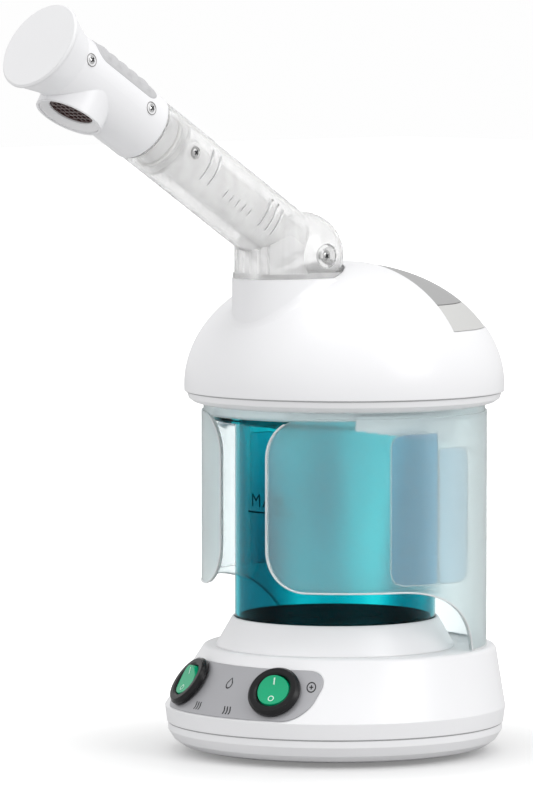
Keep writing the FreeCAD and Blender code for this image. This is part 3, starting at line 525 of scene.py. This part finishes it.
def nearest_on_dome(point):
    """Closest point of the dome's ellipsoid, by Newton steps in the plane through its axis."""
    x, y, z = point[0], point[1] - DOME_Y, point[2] - DOME_Z
    rho = math.hypot(x, y)
    t = math.atan2(z * DOME_A, rho * DOME_B)
    for _ in range(12):
        c, s = math.cos(t), math.sin(t)
        slope = (DOME_A ** 2 - DOME_B ** 2) * c * s - DOME_A * rho * s + DOME_B * z * c
        curve = (DOME_A ** 2 - DOME_B ** 2) * (c * c - s * s) - DOME_A * rho * c - DOME_B * z * s
        t -= slope / curve
    r = DOME_A * math.cos(t)
    return Vector((x / rho * r, y / rho * r + DOME_Y, DOME_Z + DOME_B * math.sin(t)))


def turret_fillet():
    """A rolling-ball fillet between the turret's wall and the dome."""
    radius, arc_steps, side_steps, front_steps = 6.5, 12, 12, 60
    sunk_edge, below_top = 0.12, 0.15
    # Stations down the left side, round the front and back along the right side: foot of the wall, way out.
    depths = [TURRET_Y + (BOSS_Y - TURRET_Y) * i / side_steps for i in range(side_steps + 1)]
    stations = [(Vector((-BOSS_RADIUS, y, 0)), Vector((-1, 0, 0))) for y in depths]
    for i in range(1, front_steps):
        a = math.radians(180 + 180 * i / front_steps)
        out = Vector((math.cos(a), math.sin(a), 0))
        stations.append((Vector((0, BOSS_Y, 0)) + out * BOSS_RADIUS, out))
    depths = [BOSS_Y + (TURRET_Y - BOSS_Y) * i / side_steps for i in range(side_steps + 1)]
    stations += [(Vector((BOSS_RADIUS, y, 0)), Vector((1, 0, 0))) for y in depths]
    points = []
    for foot, out in stations:
        low, high = 222.0, 310.0
        for _ in range(40):                              # the height at which the ball touches the dome
            middle = (low + high) / 2
            ball = foot + out * radius + Vector((0, 0, middle))
            gap = ball - nearest_on_dome(ball)
            outside = gap.dot(Vector((ball.x, ball.y - DOME_Y, (ball.z - DOME_Z) * 1.7))) > 0
            if outside and gap.length > radius:
                high = middle
            else:
                low = middle
        ball = foot + out * radius + Vector((0, 0, low))
        end = (nearest_on_dome(ball) - ball).normalized()
        for k in range(arc_steps + 1):
            sink = sunk_edge if k in (0, arc_steps) else 0.0
            p = ball + (-out).slerp(end, k / arc_steps) * (radius + sink)
            p.z = min(p.z, BOSS_TOP - below_top)
            points.append(p)
    piece("turret_fillet", points, [f[::-1] for f in grid_faces(len(stations), arc_steps + 1)],
          "white_gloss", "hood", sharp=180)


turret_fillet()


# ---------------------------------------------------------------- guard: bright edges and side windows
GUARD_RADIUS, GUARD_INNER = 85.0, 82.6


def guard_edges():
    """Beads of whiter, less clear plastic along the guard's free edges, found on the CAD mesh: a painted
    highlight along the edges.
    """
    below, skin, square = 200, 0.3, 0.5      # under the hood's rim, near the outside, cosine of a sharp edge
    mesh = nodes["guard"].data
    where, sides, links = {}, {}, {}
    welded = [where.setdefault(tuple(round(c, 6) for c in v.co), v.index) for v in mesh.vertices]
    for face in mesh.polygons:
        for key in face.edge_keys:
            sides.setdefault(tuple(sorted(welded[v] for v in key)), []).append(face.normal)
    for key, normals in sides.items():
        if len(normals) != 2 or normals[0].dot(normals[1]) > square:
            continue
        ends = [mesh.vertices[v].co / MM for v in key]
        if all(math.hypot(p.x, p.y - DOME_Y) > GUARD_RADIUS - skin and p.z < below for p in ends):
            for a, b in (key, key[::-1]):
                links.setdefault(a, []).append(b)
    lines, used = [], set()
    for start in sorted(links, key=lambda v: (len(links[v]) != 1, v)):
        chain, onward = [], [start]
        while onward and onward[0] not in used:
            chain.append(onward[0])
            used.add(onward[0])
            onward = [v for v in links[onward[0]] if v not in used]
        if len(chain) > 3:
            lines.append(([mesh.vertices[v].co / MM for v in chain], False))
    beads("guard_edge_highlights", lines, 0.55, "frosted", "hood", look=FROST_EDGE_HIGHLIGHT)


def wrapped(angle, z, radius, centre_y=DOME_Y):
    """A point on an upright cylinder: angle in degrees from the front, towards the right."""
    a = math.radians(angle)
    return (radius * math.sin(a), centre_y - radius * math.cos(a), z)


def pane(name, start, end, low, high, corner_start, corner_end, look):
    """A thin curved pane just inside the guard, its corners rounded in the developed plane."""
    radius, thick = GUARD_INNER - 0.35, 0.5
    rows, columns = 60, 40
    length = math.radians(abs(end - start)) * radius
    points = []
    for r in (radius, radius - thick):
        for i in range(rows):
            z = low + (high - low) * i / (rows - 1)
            rise = min(z - low, high - z)
            cut = [corner - math.sqrt(max(0.0, corner ** 2 - max(0.0, corner - rise) ** 2))
                   for corner in (corner_start, corner_end)]
            for j in range(columns):
                s = cut[0] + (length - cut[0] - cut[1]) * j / (columns - 1)
                points.append(wrapped(start + (end - start) * s / length, z, r))
    front = grid_faces(rows, columns)
    count = rows * columns
    back = [tuple(count + v for v in f[::-1]) for f in front]
    rim = [i * columns for i in range(rows)] + [(rows - 1) * columns + j for j in range(1, columns)]
    rim += [i * columns + columns - 1 for i in range(rows - 2, -1, -1)] + list(range(columns - 2, 0, -1))
    sides = [(a, b, count + b, count + a) for a, b in zip(rim, rim[1:] + rim[:1])]
    piece(name, points, front + back + sides, "frosted", "hood", look=look)
    # The outline bead is a painted highlight round the pane's edge.
    beads(name + "_outline", [([points[v] for v in rim], True)], 0.3, "frosted", "hood", look=FROST_EDGE_HIGHLIGHT)


guard_edges()
for side, label in ((1, "right"), (-1, "left")):
    pane("window_front_" + label, side * 65.0, side * 87.0, 104.6, 193.5, 8.0, 1.0, PANE_DARK)
    pane("window_rear_" + label, side * 87.8, side * 106.0, 104.6, 184.0, 1.0, 8.0, PANE_LIGHT)


# ---------------------------------------------------------------- printed marks
def laid(name, outlines, spot, body, slot, look, lift=0.06):
    """Flat shapes laid on a surface: spot(x, y) gives the point and the way out under each corner.

    A shape is a filled outline, or the two rows of corners of a strip or of a closed ring."""
    points, faces = [], []
    for shape, corners in outlines:
        base = len(points)
        for x, y in corners:
            p, out = spot(x, y)
            points.append(p + out * lift)
        if shape == "fill":
            faces.append(tuple(range(base, len(points))))
        else:
            half = len(corners) // 2
            for k in range(half if shape == "ring" else half - 1):
                n = (k + 1) % half
                faces.append((base + k, base + n, base + half + n, base + half + k))
    piece(name, points, faces, slot, body, look=look)


def stroke(points, width, closed=False):
    """A line of even width as two rows of corners."""
    count = len(points)
    near, far = [], []
    for i, (x, y) in enumerate(points):
        a = points[(i - 1) % count] if closed or i else points[0]
        b = points[(i + 1) % count] if closed or i < count - 1 else points[-1]
        dx, dy = b[0] - a[0], b[1] - a[1]
        size = math.hypot(dx, dy)
        nx, ny = -dy / size * width / 2, dx / size * width / 2
        near.append((x + nx, y + ny))
        far.append((x - nx, y - ny))
    return ("ring" if closed else "strip", near + far)


def arc(cx, cy, radius, start, end, count):
    """Points of an arc in degrees; a full turn leaves out the last point, which is the first."""
    return [(cx + radius * math.cos(math.radians(start + (end - start) * i / count)),
             cy + radius * math.sin(math.radians(start + (end - start) * i / count)))
            for i in range(count + (abs(end - start) < 360))]


def waves(count, height, gap):
    """Upright wavy lines, side by side."""
    steps, sway, bend = 12, 0.45, 4.6
    wave = [(sway * math.sin(bend * t / steps), height * (t / steps - 0.5)) for t in range(steps + 1)]
    return [stroke([(x + (k - (count - 1) / 2) * gap, y) for x, y in wave], 0.8) for k in range(count)]


def drop(size):
    """Outline of a drop with its tip up."""
    return stroke(arc(0, 0, size * 0.62, 30, -210, 22) + [(0, size)], 0.75, closed=True)


def bvh(node):
    """A CAD node's surface, for rays, in millimetres."""
    mesh = nodes[node].data
    return BVHTree.FromPolygons([v.co / MM for v in mesh.vertices], [p.vertices for p in mesh.polygons])


def panel_spot(azimuth, height):
    """Points of the control panel round a place at azimuth from the front and at a height."""
    tree, panel_radius, panel_y, clear_of_it = bvh("control_panel"), 95.0, 5.0, 130

    def spot(x, y):
        a = math.radians(azimuth) + x / panel_radius
        out = Vector((math.sin(a), -math.cos(a), 0))
        return tree.ray_cast(Vector((0, panel_y, height + y)) + out * clear_of_it, -out)[:2]

    return spot


SWITCH_TILT = math.asin(0.58955)      # how far the switches' faces lean back from upright


def switch_spot(node, joint):
    """Points of a rocker's face: x level, y up the panel."""
    tree = bvh(node)
    turn = next(j for j in frame["record"]["behaviour"]["joints"] if j["name"] == joint)
    centre = Vector(turn["pos_m"]) / MM
    level = Vector(turn["axis"]).normalized()
    flat = Vector((level.y, -level.x, 0))
    out = flat * math.cos(SWITCH_TILT) + Vector((0, 0, math.sin(SWITCH_TILT)))
    up = out.cross(level)

    def spot(x, y):
        return tree.ray_cast(centre + level * x + up * y + out * 30, -out)[0], out

    return spot


def switch_marks():
    """The bar and the ring that mark on and off."""
    for side in ("left", "right"):
        spot = switch_spot("rocker_" + side, side + "_switch")
        bar = ("fill", [(-0.45, 3.4), (0.45, 3.4), (0.45, 7.2), (-0.45, 7.2)])
        ring = stroke(arc(0, -5.4, 1.6, 0, 360, 28), 0.6, closed=True)
        laid("rocker_mark_" + side, [bar, ring], spot, "rocker_" + side, "grey_gloss", MARK_WHITE, 0.08)


def panel_icons():
    """Plain pictograms: a drop, steam, and a charged particle."""
    laid("icon_drop", [drop(3.4)], panel_spot(1.0, 46.0), "base", "black_gloss", INK_AND_DRIVE_SHADE)
    laid("icon_steam", waves(3, 4.2, 2.0), panel_spot(-9.0, 32.6), "base", "black_gloss", INK_AND_DRIVE_SHADE)
    laid("icon_steam_low", waves(3, 4.2, 2.0), panel_spot(5.5, 32.2), "base", "black_gloss", INK_AND_DRIVE_SHADE)
    plus = [stroke([(-1.2, 0), (1.2, 0)], 0.7), stroke([(0, -1.2), (0, 1.2)], 0.7)]
    laid("icon_ion", [stroke(arc(0, 0, 2.6, 0, 360, 30), 0.7, closed=True)] + plus,
         panel_spot(35.0, 47.2), "base", "black_gloss", INK_AND_DRIVE_SHADE)


switch_marks()
panel_icons()

TANK_RADIUS = 59.7


def level_mark():
    """The tank's full mark: the word MAX over a line, bent round the wall."""
    word_middle, word_width, word_foot, word_height = 4.0, 27.5, 148.4, 7.4
    line_half, line_heights, steps = 18.0, (144.5, 145.5), 40
    radius = TANK_RADIUS + 0.08
    text = bpy.data.curves.new("level_word", "FONT")
    text.body = "MAX"
    text.space_character = 1.2
    letters = bpy.data.objects.new("level_word", text)
    bpy.context.collection.objects.link(letters)
    bpy.context.view_layer.update()
    mesh = bpy.data.meshes.new_from_object(letters.evaluated_get(bpy.context.evaluated_depsgraph_get()))
    bpy.data.objects.remove(letters)
    xs, ys = [v.co.x for v in mesh.vertices], [v.co.y for v in mesh.vertices]
    wide, high = max(xs) - min(xs), max(ys) - min(ys)

    def bent(x, z):
        return wrapped(word_middle + math.degrees(x / radius), z, radius, 0.0)

    points = [bent(((x - min(xs)) / wide - 0.5) * word_width, word_foot + (y - min(ys)) / high * word_height)
              for x, y in zip(xs, ys)]
    faces = [tuple(p.vertices) for p in mesh.polygons]
    base = len(points)
    points += [bent(line_half * (2 * i / steps - 1), z) for z in line_heights for i in range(steps + 1)]
    faces += [(base + i, base + i + 1, base + steps + 2 + i, base + steps + 1 + i) for i in range(steps)]
    piece("level_mark", points, faces, "black_matte", "base", look=LEVEL_INK)


level_mark()


# ---------------------------------------------------------------- seams and the nozzle's screen
def seams():
    """A grey bead at the bottom of each of the two shut lines: painted shade, a soft grey line where the gap
    is in shade.
    """
    for name, y, z, radius in (("base", 0, 17.35, 99.15), ("hood", DOME_Y, 213.9, 93.75)):
        shade_line = circle((0, y, z), (0, 0, 1), radius, 180)
        beads(name + "_seam_shade", [(shade_line, True)], 0.42, "white_gloss", name, look=SEAM_SHADE)


SPOUT_AT, SPOUT_LENGTH, NOZZLE_BORE = 199.5, 23.6, 13.3


def nozzle_screen():
    """The dished dark screen behind the nozzle's grid, turned about the spout's axis."""
    around, dish, seat, skirt = 96, 1.6, 1.2, 0.6
    spout_place = Matrix.Translation(Vector((0, 0, SPOUT_AT)) * MM)
    mouth = ARM @ spout_place @ Matrix.Rotation(math.radians(90), 4, "X")
    deep = SPOUT_LENGTH - 6.2
    edge = deep - skirt
    profile = [(NOZZLE_BORE + seat, deep), (NOZZLE_BORE, edge)]
    slopes = (0.3, 0.6, 0.9, 1.2, 1.4, 1.5)
    profile += [(NOZZLE_BORE * math.cos(t), edge - dish * math.sin(t)) for t in slopes]
    profile.append((0.05, edge - dish))
    turns = [2 * math.pi * j / around for j in range(around)]
    points = [(r * math.cos(a), r * math.sin(a), z) for r, z in profile for a in turns]
    piece("nozzle_screen", points, grid_faces(len(profile), around, loop_columns=True), "nozzle_dark", "head",
          place=mouth)


seams()
nozzle_screen()


# ---------------------------------------------------------------- floor, light, camera
CAMERA_AZIMUTH, CAMERA_PITCH, CAMERA_DISTANCE = 46.5, 4.1, 3.582
LENS_RATIO = 6000.0 / 789.0         # focal length over image height
AXIS_SHIFT = (0.0409, -0.2113)      # where the origin sits right of and above the image centre, in metres
LOOK_AT = Vector((0, 0, 0.2))       # the middle of the object, in metres
WORLD_FILL = 0.79


def stage_floor():
    """A wide pale floor whose glow grows away from the object: painted darker round the object, a painted
    shadow over its own shadows, and white far off.
    """
    reach_out = 9                       # metres from the object to the floor's edges
    corners = [(x * reach_out, y * reach_out, 0) for x, y in ((-1, -1), (1, -1), (1, 1), (-1, 1))]
    mesh = bpy.data.meshes.new("floor")
    mesh.from_pydata(corners, [], [(0, 1, 2, 3)])
    floor = bpy.data.objects.new("floor", mesh)
    bpy.context.collection.objects.link(floor)
    look = Look("floor", (0.62, 0.62, 0.62), 0.5, Emission_Color=(1, 1, 1, 1))
    reach = look.add("ShaderNodeVectorMath")
    reach.operation = "LENGTH"
    look.join(look.place, "Object", reach, 0)
    path = look.add("ShaderNodeLightPath")
    through, seen = look.add("ShaderNodeMath"), look.add("ShaderNodeMath")
    through.operation, seen.operation = "MAXIMUM", "MULTIPLY"
    look.join(path, "Is Camera Ray", through, 0)
    look.join(path, "Is Transmission Ray", through, 1)
    # Painted shadow: the floor's glow is weakest near the object and grows outwards, so the floor shows
    # darker round it.
    look.spread(reach, "Value", 0.22, 0.75, seen, 0, 0.10, 0.32)
    look.join(through, 0, seen, 1)
    look.join(seen, 0, look.shader, "Emission Strength")
    floor.data.materials.append(look.mat)


def area_light(name, azimuth, height, reach, wide, high, power):
    """A softbox that looks at the middle of the object. Azimuth 0 is in front of it, 90 on its right."""
    a = math.radians(azimuth)
    place = Vector((math.sin(a) * reach, -math.cos(a) * reach, height))
    lamp = bpy.data.lights.new(name, "AREA")
    lamp.shape = "RECTANGLE"
    lamp.size, lamp.size_y, lamp.energy = wide, high, power
    item = bpy.data.objects.new(name, lamp)
    bpy.context.collection.objects.link(item)
    item.location = place
    item.rotation_euler = (LOOK_AT - place).to_track_quat("-Z", "Y").to_euler()
    return item


def studio():
    """White studio: three softboxes, and an even world that fills the shadows.

    The world is brighter for rays from the camera and through clear parts, so it shows as pure white."""
    world = bpy.data.worlds.new("studio")
    bpy.context.scene.world = world
    world.use_nodes = True
    tree = world.node_tree
    back = tree.nodes["Background"]
    back.inputs["Color"].default_value = (1, 1, 1, 1)
    path = tree.nodes.new("ShaderNodeLightPath")
    total = None
    for ray, extra in (("Is Camera Ray", 0.20), ("Is Transmission Ray", 0.46)):
        step = tree.nodes.new("ShaderNodeMath")
        step.operation = "MULTIPLY_ADD"
        step.inputs[1].default_value = extra
        step.inputs[2].default_value = WORLD_FILL
        tree.links.new(path.outputs[ray], step.inputs[0])
        if total:
            tree.links.new(total.outputs[0], step.inputs[2])
        total = step
    tree.links.new(total.outputs[0], back.inputs["Strength"])
    area_light("key", CAMERA_AZIMUTH + 52, 1.25, 1.7, 0.9, 1.3, 12)
    area_light("fill", CAMERA_AZIMUTH - 62, 0.75, 1.7, 0.6, 1.2, 4).visible_glossy = False
    area_light("top", CAMERA_AZIMUTH, 2.2, 0.25, 1.4, 1.4, 10)


def camera():
    """The photo's view: a long lens in front and to the right of the object, slightly above it."""
    film = 36.0
    a, p = math.radians(CAMERA_AZIMUTH), math.radians(CAMERA_PITCH)
    back = Vector((math.sin(a) * math.cos(p), -math.cos(a) * math.cos(p), math.sin(p)))
    right = Vector((math.cos(a), math.sin(a), 0))
    up = back.cross(right)
    data = bpy.data.cameras.new("camera")
    data.sensor_fit = "VERTICAL"
    data.sensor_height = film
    data.lens = film * LENS_RATIO
    data.clip_end = 100
    item = bpy.data.objects.new("camera", data)
    bpy.context.collection.objects.link(item)
    item.location = back * CAMERA_DISTANCE - right * AXIS_SHIFT[0] - up * AXIS_SHIFT[1]
    item.rotation_euler = Matrix((right, up, back)).transposed().to_euler()
    bpy.context.scene.camera = item


bpy.context.scene.view_settings.view_transform = "Standard"
stage_floor()
studio()
camera()
